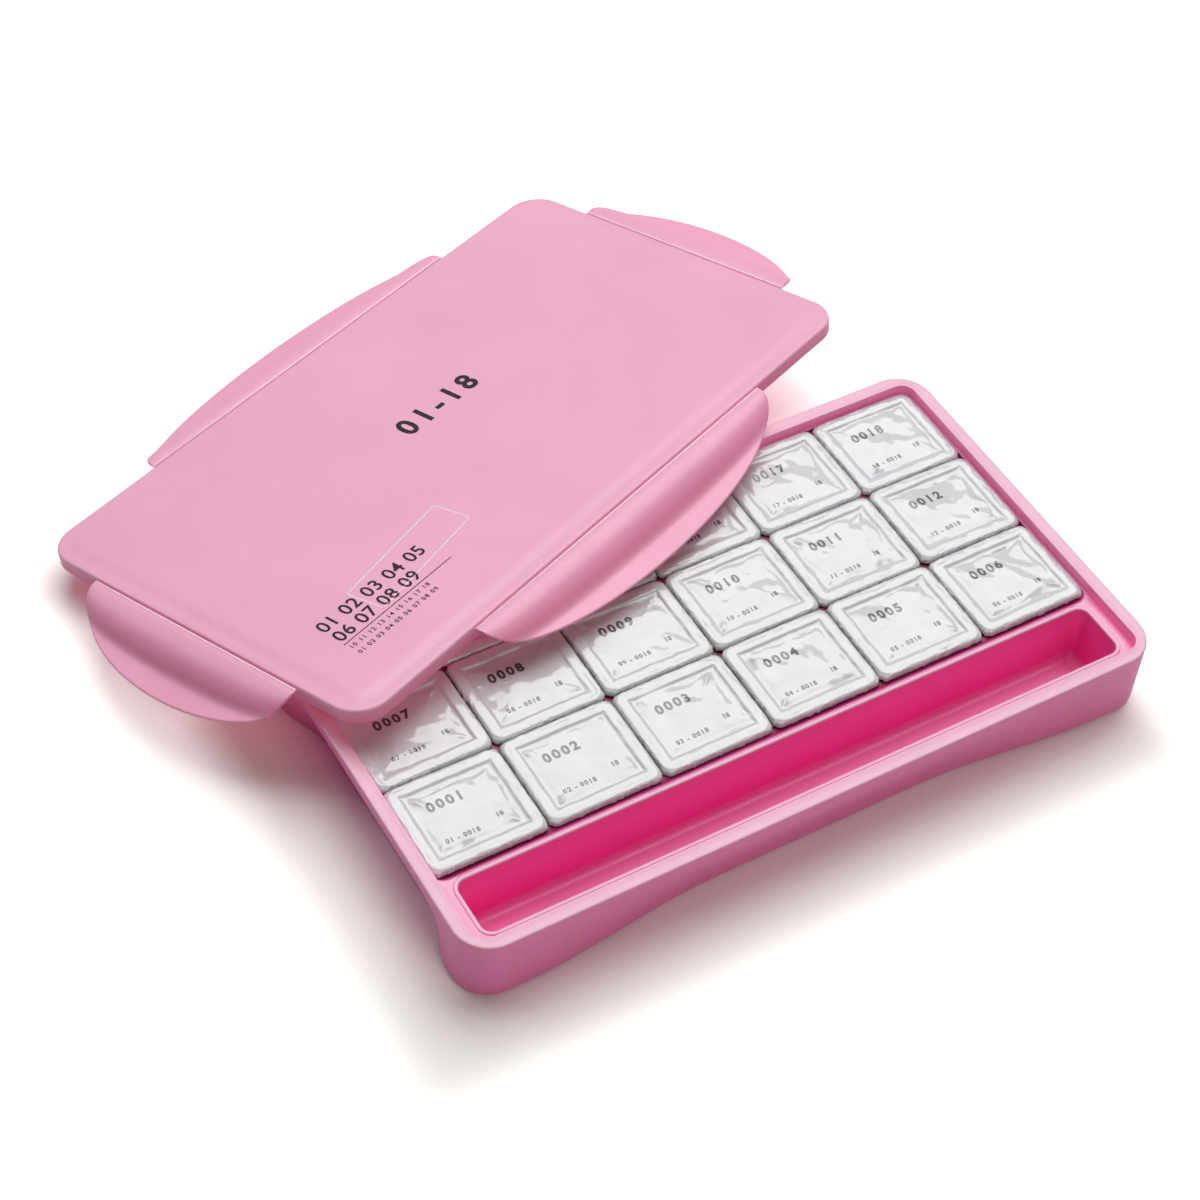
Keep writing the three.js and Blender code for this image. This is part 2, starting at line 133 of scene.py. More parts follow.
# Lid
CREASE_OFFSET = 1.3
CREASE_DROP = 0.8
CREASE_GAP = 0.3
CREASE_THICKNESS = 0.4
CREASE_LINE = (0.42, 0.3)
CREASE_LINE_PLACE = (0.12, 0.2)
CREASE_LINE_MARGIN = 0.4
CREASE_LINE_STEPS = 10
STRIP_THICKNESS = 1.2
LID_RADIUS = 15
LID_THICKNESS = 2.2
SKIRT_DEPTH = 7
SKIRT_THICKNESS = 2
PLUG_DROP = 4.2
PLUG_THICKNESS = 1.8
PLUG_CLEARANCE = 0.5
LONG_FLAP_SHARE = 0.589
SHORT_FLAP_SHARE = 0.628
FLAP_REACH = 29.7
PRESSED_FLAP_REACH = 26.5
FLAP_THICKNESS = 1.4
FLAP_TAPER = 2.6
FLAP_OUTLINE_POWER = 0.45
FLAP_ANGLES = {"back": 18.7, "front": 30, "left": 29, "right": 15}
FLAP_START_SLOPE = 0.38
FLAP_STEEPEST_SLOPE = -0.71
FLAP_SWEEP = 1.5
FLAP_VALLEY = 0.54
FLAP_TURN = 0.22
FLAP_RETURN = 0.85
FLAP_BOW_FOLLOW = 0.16
PRESSED_CURVE_SHARE = 0.8
# Painted shade on a flap: how much deeper its pink is painted all over, more in its valley and more on its lip
FLAP_SHADE_DEPTHS = (0.06, 0.38, 0.06)
FLAP_CURVE_STEPS = 240
FLAP_STATIONS = 72
FLAP_ROWS = 40
FLAP_LIP_STEPS = 6

SHARP_ANGLE = math.radians(38)

# Steps of an outline round each corner, along each long side and along each short side
TRAY_STEPS = (12, 56, 34)
TROUGH_STEPS = (10, 60, 8)
FIELD_STEPS = (10, 60, 30)
CUP_STEPS = (8, 4, 4)
SEAL_STEPS = (12, 50, 42)
LID_STEPS = (14, 24, 14)


# Outlines and solids

def turned(x, y, radius, start, end, steps):
    """Points of an arc about (x, y), between two angles in quarter turns."""
    angles = [(start + (end - start) * step / steps) * math.pi / 2 for step in range(steps + 1)]
    return [(x + radius * math.cos(angle), y + radius * math.sin(angle)) for angle in angles]


def loop(length, width, radius, steps):
    """A rounded rectangle as points, from the right end's back corner round to the left."""
    corner_steps, long_steps, short_steps = steps
    corners = []
    for corner in range(4):
        x = (length / 2 - radius) * (1 if corner in (0, 3) else -1)
        y = (width / 2 - radius) * (1 if corner < 2 else -1)
        corners.append(turned(x, y, radius, corner, corner + 1, corner_steps))
    points = []
    for corner, rounding in enumerate(corners):
        points += rounding
        side_steps = short_steps if corner % 2 else long_steps
        start, end = rounding[-1], corners[(corner + 1) % 4][0]
        for step in range(1, side_steps):
            share = step / side_steps
            points.append((start[0] + (end[0] - start[0]) * share,
                           start[1] + (end[1] - start[1]) * share))
    return points


def smooth(share):
    share = min(max(share, 0), 1)
    return share * share * (3 - 2 * share)


def fade(distance, length, shares):
    """How deep a scoop is at a distance from the middle of its side, from 1 to 0."""
    flat, full = (length * share for share in shares)
    return 1 - smooth((2 * abs(distance) - flat) / (full - flat))


def arc(start, end, steps, bulge):
    """Points (inset, height) of a quarter turn between two points, without the first. The turn
    leaves the first along the inset if bulge is 0, and along the height if it is 1."""
    points = []
    for step in range(1, steps + 1):
        angle = step / steps * math.pi / 2
        slow, fast = 1 - math.cos(angle), math.sin(angle)
        across, up = (slow, fast) if bulge else (fast, slow)
        points.append((start[0] + (end[0] - start[0]) * across,
                       start[1] + (end[1] - start[1]) * up))
    return points


def shaded(points, depth):
    return [(*point, depth) for point in points]


class Shape:
    """A mesh under construction. Each point also has a depth. On plastic it says how much painted
    shade deepens the pink there, or, below zero, how strong a painted glow is where the wall is
    thin. On foil it says how loose it is."""

    def __init__(self):
        self.points = []
        self.depths = []
        self.faces = []

    def ring(self, flat_points, height, depth=0.0):
        return self.raw_ring([(x, y, height) for x, y in flat_points], depth)

    def raw_ring(self, points, depth=0.0):
        start = len(self.points)
        self.points += [Vector(point) for point in points]
        self.depths += [depth] * len(points)
        return list(range(start, len(self.points)))

    def bridge(self, low, high):
        count = len(low)
        for step in range(count):
            after = (step + 1) % count
            self.faces.append((low[step], low[after], high[after], high[step]))

    def loft(self, rings):
        for low, high in zip(rings, rings[1:]):
            self.bridge(low, high)

    def fan(self, ring, centre):
        middle = self.raw_ring([centre])[0]
        count = len(ring)
        for step in range(count):
            self.faces.append((ring[step], ring[(step + 1) % count], middle))

    def cap(self, outer, holes=(), up=True):
        loops = [outer, *holes]
        order = [index for ring in loops for index in ring]
        places = [[self.points[index] for index in ring] for ring in loops]
        for triangle in tessellate_polygon(places):
            a, b, c = (order[index] for index in triangle)
            turn = (self.points[b] - self.points[a]).cross(self.points[c] - self.points[a])
            if turn.length == 0:
                continue
            self.faces.append((a, b, c) if (turn.z > 0) == up else (c, b, a))


def put(name, data):
    """A new object in the scene."""
    made = bpy.data.objects.new(name, data)
    bpy.context.scene.collection.objects.link(made)
    return made


def make_piece(name, shape, body, material, nodes=(), place=None):
    """Makes a piece from a shape drawn in millimetres, ties it to its body and hides the nodes it stands in for.
    """
    mesh = bpy.data.meshes.new(name)
    place = place or Matrix.Identity(4)
    mesh.from_pydata([(place @ point) * MM for point in shape.points], [], shape.faces)
    depth = mesh.attributes.new("depth", "FLOAT", "POINT")
    depth.data.foreach_set("value", shape.depths)
    mesh.polygons.foreach_set("use_smooth", [True] * len(mesh.polygons))
    mesh.set_sharp_from_angle(angle=SHARP_ANGLE)
    mesh.materials.append(material)
    mesh.update()
    piece = put(name, mesh)
    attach(piece, body)
    if nodes:
        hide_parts(*nodes)


# Materials

def colour(code):
    """An sRGB colour written as six hex digits, as linear light."""
    parts = [int(code[start:start + 2], 16) / 255 for start in (0, 2, 4)]
    return tuple(part / 12.92 if part <= 0.04045 else ((part + 0.055) / 1.055) ** 2.4
                 for part in parts)


# Painted light and shade on plastic: the tone of the painted glow on thin walls, the dark wine of painted shade in
# the deepest hollows, and the depths over which that shade comes in
THIN_WALL_GLOW_TONE = (1.0, 0.26, 0.42)
HOLLOW_SHADE_TONE = colour("6a0c2c")
HOLLOW_SHADE_DEPTHS = (1.0, 1.6)
CLOUD_SHADE = 0.94
STREAK_SHADE = 0.82
# The places of a Mix node's colour sockets: both inputs and the output
MIX_SOCKETS = (6, 7, 2)


class Nodes:
    """Builds one procedural material, or the world. Every pattern is laid out in the object's
    own metres."""

    def __init__(self, block, shader="Principled BSDF"):
        block.use_nodes = True
        self.block = block
        self.tree = block.node_tree
        self.shader = self.tree.nodes[shader]

    def add(self, kind, **settings):
        node = self.tree.nodes.new(kind)
        for key, value in settings.items():
            setattr(node, key, value)
        return node

    def link(self, source, target):
        self.tree.links.new(source, target)

    def fill(self, node, **values):
        """Sets a node's inputs by name, to constants or to other nodes' outputs."""
        for key, value in values.items():
            socket = node.inputs[key.replace("_", " ")]
            if hasattr(value, "is_output"):
                self.link(value, socket)
            else:
                socket.default_value = value

    def set(self, **values):
        self.fill(self.shader, **values)

    def place(self):
        return self.add("ShaderNodeTexCoord").outputs["Object"]

    def depth(self):
        return self.add("ShaderNodeAttribute", attribute_name="depth").outputs["Fac"]

    def noise(self, scale, detail=2.0, roughness=0.5, distortion=0.0):
        node = self.add("ShaderNodeTexNoise")
        self.fill(node, Vector=self.place(), Scale=scale, Detail=detail, Roughness=roughness,
                  Distortion=distortion)
        return node.outputs["Fac"]

    def combine(self, operation, *values):
        node = self.add("ShaderNodeMath", operation=operation)
        for value, socket in zip(values, node.inputs):
            self.link(value, socket)
        return node.outputs[0]

    def spread(self, value, low, high, from_low=0.3, from_high=0.7, interpolation="LINEAR"):
        node = self.add("ShaderNodeMapRange", interpolation_type=interpolation)
        self.fill(node, Value=value, From_Min=from_low, From_Max=from_high, To_Min=low,
                  To_Max=high)
        return node.outputs["Result"]

    def mix(self, share, first, second):
        node = self.add("ShaderNodeMix", data_type="RGBA")
        self.link(share, node.inputs["Factor"])
        *places, result = MIX_SOCKETS
        for place, value in zip(places, (first, second)):
            if isinstance(value, tuple):
                node.inputs[place].default_value = (*value, 1)
            else:
                self.link(value, node.inputs[place])
        return node.outputs[result]

    def bump(self, height, distance, strength, **below):
        node = self.add("ShaderNodeBump")
        self.fill(node, Height=height, Distance=distance, Strength=strength, **below)
        return node.outputs["Normal"]


def mottled(name, tones, patches, gloss, patch_range=(0.3, 0.7)):
    """A material whose tone and roughness vary by noises of the given scale and detail."""
    nodes = Nodes(bpy.data.materials.new(name))
    share = nodes.spread(nodes.noise(*patches), 0, 1, *patch_range)
    scale, detail, *roughness = gloss
    nodes.set(Base_Color=nodes.mix(share, *tones),
              Roughness=nodes.spread(nodes.noise(scale, detail), *roughness))
    return nodes


def plastic(name, light, shade_pink, gloss, ior, thin_glow):
    """Satin moulded plastic: a fine grain, faint clouds of tone, and painted shade that deepens the
    pink by the depth, to dark wine in hollows. Where the depth is below zero, a painted glow
    stands in for light that comes through a thin wall."""
    nodes = Nodes(bpy.data.materials.new(name))
    mark = nodes.depth()
    depth = nodes.combine("ABSOLUTE", mark)
    clouds = nodes.spread(nodes.noise(22, 3), 0, 1)
    base = nodes.mix(clouds, light, tuple(part * CLOUD_SHADE for part in light))
    base = nodes.mix(depth, base, shade_pink)
    hollow = nodes.spread(depth, 0, 1, *HOLLOW_SHADE_DEPTHS)
    grain = nodes.bump(nodes.noise(900, 2), 0.00003, 0.15)
    waves = nodes.bump(nodes.noise(45, 2), 0.0002, 0.3, Normal=grain)
    nodes.set(Base_Color=nodes.mix(hollow, base, HOLLOW_SHADE_TONE), Normal=waves,
              Roughness=nodes.spread(nodes.noise(140, 3), gloss - 0.04, gloss + 0.05),
              Emission_Strength=nodes.spread(mark, thin_glow, 0, -1, 0),
              Emission_Color=(*THIN_WALL_GLOW_TONE, 1), IOR=ior)
    return nodes.block


def lacquer(nodes):
    nodes.set(Coat_Weight=0.85, Coat_IOR=1.55, Coat_Roughness=0.05)


def foil_material():
    """White sealing foil under a clear lacquer, which shows the softboxes sharply."""
    nodes = mottled("white_foil", (colour("cdced0"), colour("c4c7cb")), (70, 3),
                    (200, 2, 0.28, 0.4))
    waves = nodes.bump(nodes.noise(300, 2), 0.0001, 0.15)
    nodes.set(Normal=nodes.bump(nodes.noise(1100, 3), 0.0005, nodes.depth(), Normal=waves),
              IOR=1.45)
    lacquer(nodes)
    return nodes.block


def ink_material(name, full, worn, lacquered):
    """Printed ink, a little worn."""
    nodes = mottled(name, (worn, full), (900, 2), (400, 2, 0.35, 0.5), (0.35, 0.6))
    if lacquered:
        lacquer(nodes)
    else:
        nodes.set(Specular_IOR_Level=0.15)
    return nodes.block


def cup_material():
    nodes = mottled("white_cup_plastic", (colour("f4f4f3"), colour("e9eaea")), (60, 2),
                    (180, 2, 0.3, 0.42))
    nodes.set(Normal=nodes.bump(nodes.noise(500, 2), 0.00005, 0.3))
    return nodes.block


def paint_material(name, tone):
    darker = tuple(part * STREAK_SHADE for part in tone)
    nodes = mottled(name, (tone, darker), (160, 4, 0.6, 0.8), (240, 2, 0.32, 0.5))
    nodes.set(Normal=nodes.bump(nodes.noise(260, 3), 0.0003, 0.4))
    return nodes.block


tray_plastic = plastic("tray_pink", colour("ecb2cc"), colour("f64eae"), gloss=0.38, ior=1.56,
                       thin_glow=0.17)
lid_plastic = plastic("lid_pink", colour("eda9c6"), colour("f0559c"), gloss=0.36, ior=1.5,
                      thin_glow=0.42)
foil_white = foil_material()
ink_grey = ink_material("seal_ink", colour("1f2023"), colour("3c3d40"), lacquered=True)
ink_dark = ink_material("lid_ink", colour("140f11"), colour("20181b"), lacquered=False)
cup_white = cup_material()
crease_white = mottled("whitened_crease", (colour("f4e2ea"), colour("f0d0de")), (700, 3),
                       (300, 2, 0.45, 0.6)).block


# Sizes that follow from the frame

def node_box(name):
    low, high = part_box(name)
    return low / MM, high / MM


tray_low, tray_high = node_box("tray")
tray_length, tray_width, tray_height = tray_high - tray_low
surround_height = tray_height - SURROUND_DROP
field_floor = surround_height - FIELD_DEPTH
lip_top = surround_height + LIP_HEIGHT
trough_length = tray_length - 2 * TROUGH_END_WALL
trough_y = TROUGH_FRONT_WALL + TROUGH_WIDTH / 2 - tray_width / 2
numbers = [f"{index:02d}" for index in range(1, CUP_COUNT + 1)]


# Tray

def tray_loop(inset, radius, scoop_share=0.0):
    half_length = tray_length / 2 - inset
    half_width = tray_width / 2 - inset
    points = []
    for x, y in loop(2 * half_length, 2 * half_width, radius, TRAY_STEPS):
        if abs(y) > half_width - MM:
            y -= math.copysign(scoop_share * LONG_SCOOP_DEPTH
                               * fade(x, tray_length, LONG_SCOOP_SHARES), y)
        elif abs(x) > half_length - MM:
            x -= math.copysign(scoop_share * SHORT_SCOOP_DEPTH
                               * fade(y, tray_width, SHORT_SCOOP_SHARES), x)
        points.append((x, y))
    return points


def scoop_share(height):
    return 1 - smooth((height - SCOOP_FLOOR) / (tray_height - SCOOP_TOP_DROP - SCOOP_FLOOR))


def tray_outside(shape):
    """The rings from the base up the walls and over the rim to the foot of its inner wall."""
    rings = []
    profile = [(BASE_EDGE, 0.0), *arc((BASE_EDGE, 0.0), (0.0, BASE_EDGE), 6, 0)]
    wall_top = tray_height - RIM_EDGE
    for step in range(1, WALL_STEPS + 1):
        profile.append((0.0, BASE_EDGE + (wall_top - BASE_EDGE) * step / WALL_STEPS))
    profile += arc((0.0, wall_top), (RIM_EDGE, tray_height), 4, 1)
    # Painted shade deepens the pink down the outer walls, and none is painted on the rim's top
    for inset, height in profile:
        depth = WALL_SHADE_DEPTHS[0] + (WALL_SHADE_DEPTHS[1] - WALL_SHADE_DEPTHS[0]) * height / wall_top
        if height > wall_top:
            depth = 0.0
        rings.append(shape.ring(
            tray_loop(inset, CORNER_RADIUS - inset, scoop_share(height)), height, depth))
    step_start = RIM_WIDTH - RIM_STEP_WIDTH
    step_height = tray_height - RIM_STEP_DEPTH
    inner_edge = RIM_WIDTH - RIM_INNER_EDGE
    # The rim's depths: a little painted shade in its step, and a painted glow down its inner wall
    rim = [(step_start - RIM_STEP_SLOPE, tray_height, 0.0), (step_start, step_height, 0.1),
           (inner_edge, step_height, 0.0)]
    rim += shaded(arc((inner_edge, step_height), (RIM_WIDTH, step_height - RIM_INNER_EDGE), 4, 0),
                  RIM_INNER_EDGE_GLOW)
    rim += [(RIM_WIDTH, step_height - fall, depth) for fall, depth in RIM_INNER_WALL]
    rim += [(RIM_WIDTH, surround_height, RIM_FOOT_GLOW)]
    for inset, height, depth in rim:
        share = min(max((inset - RIM_EDGE) / (step_start - RIM_EDGE), 0), 1)
        outer_radius = CORNER_RADIUS - inset
        inner_radius = RIM_INNER_RADIUS + RIM_WIDTH - inset
        radius = max(outer_radius + (inner_radius - outer_radius) * share, 2)
        rings.append(shape.ring(tray_loop(inset, radius), height, depth))
    shape.loft(rings)
    return rings[0], rings[-1]


def trough(shape):
    """The trough and the raised lip round it. Returns its outer ring."""
    def level(inset, height, depth):
        radius = max(TROUGH_RADIUS - inset, 1.5)
        points = loop(trough_length - 2 * inset, TROUGH_WIDTH - 2 * inset, radius, TROUGH_STEPS)
        return shape.ring([(x, y + trough_y) for x, y in points], height, depth)

    lip_foot = LIP_LINE_DEPTH - LIP_WIDTH
    wall_top = lip_top - LIP_EDGE - TROUGH_WALL_TOP
    wall_foot = FLOOR_THICKNESS + TROUGH_FILLET
    top_shade, foot_shade, floor_shade = TROUGH_SHADE_DEPTHS
    # The depths paint a little shade in the moulded line at the lip's foot, and painted shade and bounce light in
    # deep magenta down the trough
    profile = [(-LIP_WIDTH - LIP_LINE_WIDTH, surround_height, 0.0),
               (-LIP_WIDTH, surround_height - LIP_LINE_DEPTH, 0.2),
               (lip_foot, surround_height, 0.1)]
    profile += shaded(arc((lip_foot, surround_height), (lip_foot + LIP_SLOPE, lip_top), 3, 1), 0.0)
    profile += [(-LIP_EDGE, lip_top, 0.0)]
    profile += shaded(arc((-LIP_EDGE, lip_top), (0.0, lip_top - LIP_EDGE), 4, 0), 0.0)
    profile += [(0.05, wall_top, top_shade)]
    for step in range(1, TROUGH_WALL_STEPS + 1):
        share = step / TROUGH_WALL_STEPS
        profile.append((TROUGH_DRAFT * share, wall_top + (wall_foot - wall_top) * share,
                        top_shade + (foot_shade - top_shade) * share))
    profile += shaded(arc((TROUGH_DRAFT, wall_foot),
                          (TROUGH_DRAFT + TROUGH_FILLET, FLOOR_THICKNESS), 6, 1), floor_shade)
    rings = [level(*entry) for entry in profile]
    shape.loft(rings)
    shape.cap(rings[-1])
    return rings[0]


def cup_mouth(number):
    """The middle of a cup's seal, and half the size of the cup's mouth below its flange."""
    low, high = node_box(f"foil_{number}")
    return (low + high) / 2, (high - low) / 2 - Vector((FLANGE_WIDTH, FLANGE_WIDTH, 0))


def cup_level(centre, half, radius, growth, drawn_in):
    size = 2 * (growth - drawn_in)
    points = loop(2 * half.x + size, 2 * half.y + size, radius, CUP_STEPS)
    return [(x + centre.x, y + centre.y) for x, y in points]


def field(shape):
    """The sunken field that the cups hang in. Returns its outer ring and its floor's ring."""
    front = trough_y + TROUGH_WIDTH / 2 + LIP_WIDTH + 0.1
    back = tray_width / 2 - RIM_WIDTH - FIELD_MARGIN
    length = tray_length - 2 * (RIM_WIDTH + FIELD_MARGIN)

    def level(inset, height, depth):
        radius = RIM_INNER_RADIUS - FIELD_MARGIN - inset
        points = loop(length - 2 * inset, back - front - 2 * inset, radius, FIELD_STEPS)
        slope = FIELD_SLOPE * smooth((surround_height - height) / FIELD_DEPTH)
        middle = (front + back) / 2
        return shape.ring([(x, y + middle + (slope if y < 0 else 0)) for x, y in points],
                          height, depth)

    # The depths paint shade that deepens down the field's wall to dark wine on its floor, below the seals
    profile = [(0.0, surround_height, 0.12)]
    profile += shaded(arc((0.0, surround_height), (FIELD_EDGE, surround_height - FIELD_EDGE), 3, 0),
                      0.2)
    profile += [(FIELD_EDGE, surround_height - 0.8, 1.15),
                (FIELD_EDGE + 0.05, field_floor + 0.7, 1.4),
                (FIELD_EDGE + 0.15, field_floor + 0.2, 1.5), (FIELD_EDGE + 0.4, field_floor, 1.5)]
    rings = [level(*entry) for entry in profile]
    shape.loft(rings)
    return rings[0], rings[-1]


def well(shape, number):
    """The well that a cup drops into. Returns its ring at the field's floor."""
    centre, half = cup_mouth(number)
    bottom = node_box(f"cup_{number}")[0].z - WELL_CLEARANCE
    mouth = tray_height - WELL_MOUTH_DROP
    top_draft = CUP_TAPER * (mouth - field_floor) / (mouth - bottom)
    base_radius, top_radius = CUP_RADII
    levels = [(field_floor, top_radius, WELL_CLEARANCE + WELL_EDGE, top_draft),
              (field_floor - WELL_EDGE, top_radius, WELL_CLEARANCE, top_draft),
              (bottom + CUP_BASE_EDGE, base_radius, WELL_CLEARANCE, CUP_TAPER),
              (bottom, base_radius - 1, WELL_CLEARANCE - CUP_BASE_EDGE, CUP_TAPER)]
    rings = [shape.ring(cup_level(centre, half, radius, growth, drawn), height, depth)
             for (height, radius, growth, drawn), depth in zip(levels, WELL_SHADE_DEPTHS)]
    shape.loft(rings)
    shape.cap(rings[-1])
    return rings[0]


def corner_hollow(shape, side_x, side_y):
    """The hollow below one corner of the tray. Returns its ring at the base."""
    roof = tray_height - HOLLOW_ROOF_DROP
    outer_x = tray_length / 2 - SKIN_THICKNESS
    outer_y = tray_width / 2 - SKIN_THICKNESS
    radius = CORNER_RADIUS - SKIN_THICKNESS
    start_x = tray_length * LONG_SCOOP_SHARES[1] / 2 + HOLLOW_MARGIN
    start_y = tray_width * SHORT_SCOOP_SHARES[1] / 2 + HOLLOW_MARGIN
    high = node_box(f"foil_{numbers[-1]}")[1]
    inner_x = high.x - FLANGE_WIDTH + WELL_CLEARANCE + WELL_WALL
    inner_y = high.y - FLANGE_WIDTH + WELL_CLEARANCE + WELL_WALL
    points = [(start_x, outer_y), *turned(outer_x - radius, outer_y - radius, radius, 1, 0, 8),
              (outer_x, start_y), (inner_x, start_y),
              *turned(inner_x - radius / 2, inner_y - radius / 2, radius / 2, 0, 1, 4),
              (start_x, inner_y)]
    points = [(side_x * x, side_y * y) for x, y in points]
    if side_x * side_y > 0:
        points.reverse()
    # Painted shade: the pink is painted deeper inside the hollow, most at its roof
    base = shape.ring(points, 0.0, 0.2)
    top = shape.ring(points, roof, 0.7)
    shape.bridge(top, base)
    shape.cap(top, up=False)
    return base


def make_tray():
    shape = Shape()
    base, surround = tray_outside(shape)
    field_edge, field_ring = field(shape)
    shape.cap(surround, [trough(shape), field_edge])
    shape.cap(field_ring, [well(shape, number) for number in numbers])
    corners = [corner_hollow(shape, x, y) for x in (-1, 1) for y in (-1, 1)]
    shape.cap(base, corners, up=False)
    make_piece("tray_moulding", shape, "tray", tray_plastic, ["tray"])


# Cups

def make_cup(number):
    """A thin tapered cup with its flange, as one closed skin."""
    centre, half = cup_mouth(number)
    cup_low, cup_high = node_box(f"cup_{number}")
    flange_bottom = node_box(f"foil_{number}")[0].z
    flange_top = cup_high.z + SEAL_RAISE
    flange = FLANGE_WIDTH - FLANGE_MARGIN
    edge_out, edge_down = CUP_LIP_EDGE
    base_radius, top_radius = CUP_RADII
    shape = Shape()
    base_edge = [(-CUP_BASE_EDGE, 0.0), *arc((-CUP_BASE_EDGE, 0.0), (0.0, CUP_BASE_EDGE), 4, 0)]
    levels = [(cup_low.z + up, base_radius, growth, CUP_TAPER) for growth, up in base_edge]
    levels += [(flange_bottom, top_radius, 0.0, 0.0),
               (flange_bottom, top_radius - 1, flange, 0.0),
               (flange_top - edge_down, top_radius - 1, flange, 0.0),
               (flange_top, top_radius - 1, flange - edge_out, 0.0),
               (flange_top, top_radius, -CUP_WALL, 0.0),
               (cup_low.z + CUP_WALL, base_radius, -CUP_WALL, CUP_TAPER)]
    rings = [shape.ring(cup_level(centre, half, radius, growth, drawn), height)
             for height, radius, growth, drawn in levels]
    shape.loft(rings)
    shape.cap(rings[0], up=False)
    shape.cap(rings[-1])
    make_piece(f"cup_shell_{number}", shape, f"cup_{number}", cup_white, [f"cup_{number}"])


# Foil seals

# Distance in from a seal's edge, and height over the level of its border
FOIL_PROFILE = (
    (0.0, -2.6), (0.05, -2.0), (0.12, -1.45), (0.25, -0.98), (0.45, -0.64), (0.7, -0.41),
    (1.0, -0.25), (1.35, -0.15), (1.8, -0.1), (2.1, -0.1), (2.3, -0.14), (2.5, -0.08), (2.8, -0.02),
    (3.3, 0.03), (4.0, 0.03), (4.6, -0.01), (4.9, -0.05), (5.15, -0.09), (5.4, -0.14),
    (5.7, -0.26), (6.0, -0.42), (6.4, -0.57), (6.9, -0.66), (7.5, -0.7))
FOIL_UNDERSIDE = ((0.15, -3.0), (0.5, -0.9), (3.3, -0.9), (3.9, -2.2))
SEAL_SEED = 40
SEAL_RAISE = 1.0
SEAL_LIFTS = (-0.05, 0.35)
SEAL_TILTS = (("X", 0.45), ("Y", 0.35), ("Z", 0.2))
SKIRT_RADIUS = 3.3
FOIL_CENTRE_RISE = 0.5
FOIL_RINGS = 22
FOIL_SPREAD = 0.22
CRESCENT_START = 6.2
CRESCENT_WIDTH = 2.6
CRESCENT_DEPTH = 0.75
CRESCENT_WAVE = 1.3
CRESCENT_LEAST = 0.3
CRESCENT_SOFTNESS = 0.004
BORDER_WIDTH = 4.8
EMBOSSING = 0.6
EMBOSSING_SPREAD = 2.2
PANEL_START = 5.1
PANEL_FADE = 1.8
LINE_STRAY = 0.65
CALM_WIDTH = 1.2
LOOSE_WIDTH = 1.6
SEAL_WAVE = 0.12
CRIMP_INSET = 0.16
LOWEST_CRIMP = 0.35
# The sizes of the crimps along a skirt, and how far each kind draws it in and lifts it
CRIMP_SIZES = (2.2, 0.9)
CRIMPS_IN = (0.35, 0.4)
CRIMPS_UP = (0.5, 0.9)
FOLD_FOOT = 0.3
FOLD_SHARPNESS = 1.3
FOLD_BEND = 0.9
FOLD_BEND_LENGTH = 4

# Height, size and layer of the dents in a panel, and height and size of the border's unevenness
DENTS = ((0.66, 12, 0), (0.2, 4.5, 3))
BORDER_DENTS = ((0.16, 5), (0.06, 1.7))

# What each fold's start, direction, length, width and rise are drawn from
CORNER_FOLD = ((15.5, 18), (12.5, 14.5), (0.4, 1.2), (6, 16), (0.6, 1.3), (0.15, 0.42))
PANEL_FOLD = ((-16, 16), (-13, 13), (0, math.tau), (5, 13), (0.7, 2.0), (-0.3, 0.25))


def ripple(x, y, size, layer, offset=Vector((0, 0, 0))):
    """Smooth noise with bumps of a size in millimetres. Each layer is a pattern of its own."""
    return noise.noise(Vector((x / size, y / size, layer)) + offset)


def make_wrinkles(rng, half):
    """One seal's own set of dents, folds and creases, as a height over its panel."""
    offset = Vector((rng.uniform(0, 90), rng.uniform(0, 90), rng.uniform(0, 90)))
    folds = []
    far_x, far_y, aim_range, *sizes = CORNER_FOLD
    for side_x in (-1, 1):
        for side_y in (-1, 1):
            for _ in range(rng.choice((1, 2, 2))):
                start = Vector((side_x * rng.uniform(*far_x), side_y * rng.uniform(*far_y)))
                aim = Vector((-side_x * rng.uniform(*aim_range),
                              -side_y * rng.uniform(*aim_range)))
                folds.append((start, aim.normalized(), *(rng.uniform(*size) for size in sizes)))
    far_x, far_y, aim_range, *sizes = PANEL_FOLD
    for _ in range(rng.randint(4, 7)):
        start = Vector((rng.uniform(*far_x), rng.uniform(*far_y)))
        angle = rng.uniform(*aim_range)
        folds.append((start, Vector((math.cos(angle), math.sin(angle))),
                      *(rng.uniform(*size) for size in sizes)))
    reach = {side: rng.uniform(0.6, 1.15) for side in ("left", "front", "right", "back")}

    def height(x, y):
        spot = Vector((x, y))
        total = sum(rise * ripple(x, y, size, layer, offset) for rise, size, layer in DENTS)
        edges = {"left": x + half.x, "right": half.x - x, "front": y + half.y, "back": half.y - y}
        for side, gap in edges.items():
            along = y if side in ("left", "right") else x
            wave = ripple(along, gap, 9, 11, offset)
            size = reach[side] * CRESCENT_WIDTH * (1 + CRESCENT_WAVE * wave) + CRESCENT_LEAST
            beyond = max((gap - CRESCENT_START) / size, 0)
            if beyond < 1.2:
                soft = math.sqrt((1 - beyond) ** 2 + CRESCENT_SOFTNESS)
                total -= CRESCENT_DEPTH * size / CRESCENT_WIDTH * (0.5 * (1 - beyond + soft))
        for start, aim, length, width, rise in folds:
            along = (spot - start).dot(aim)
            share = along / length
            if share < -FOLD_FOOT or share > 1:
                continue
            bend = FOLD_BEND * noise.noise(Vector((along / FOLD_BEND_LENGTH, *start)))
            across = abs((spot - start).cross(aim) + bend)
            slope = math.exp(-(across / width) ** FOLD_SHARPNESS)
            total += rise * slope * smooth((share + FOLD_FOOT) / FOLD_FOOT) * (1 - smooth(share))
        return total
    return height


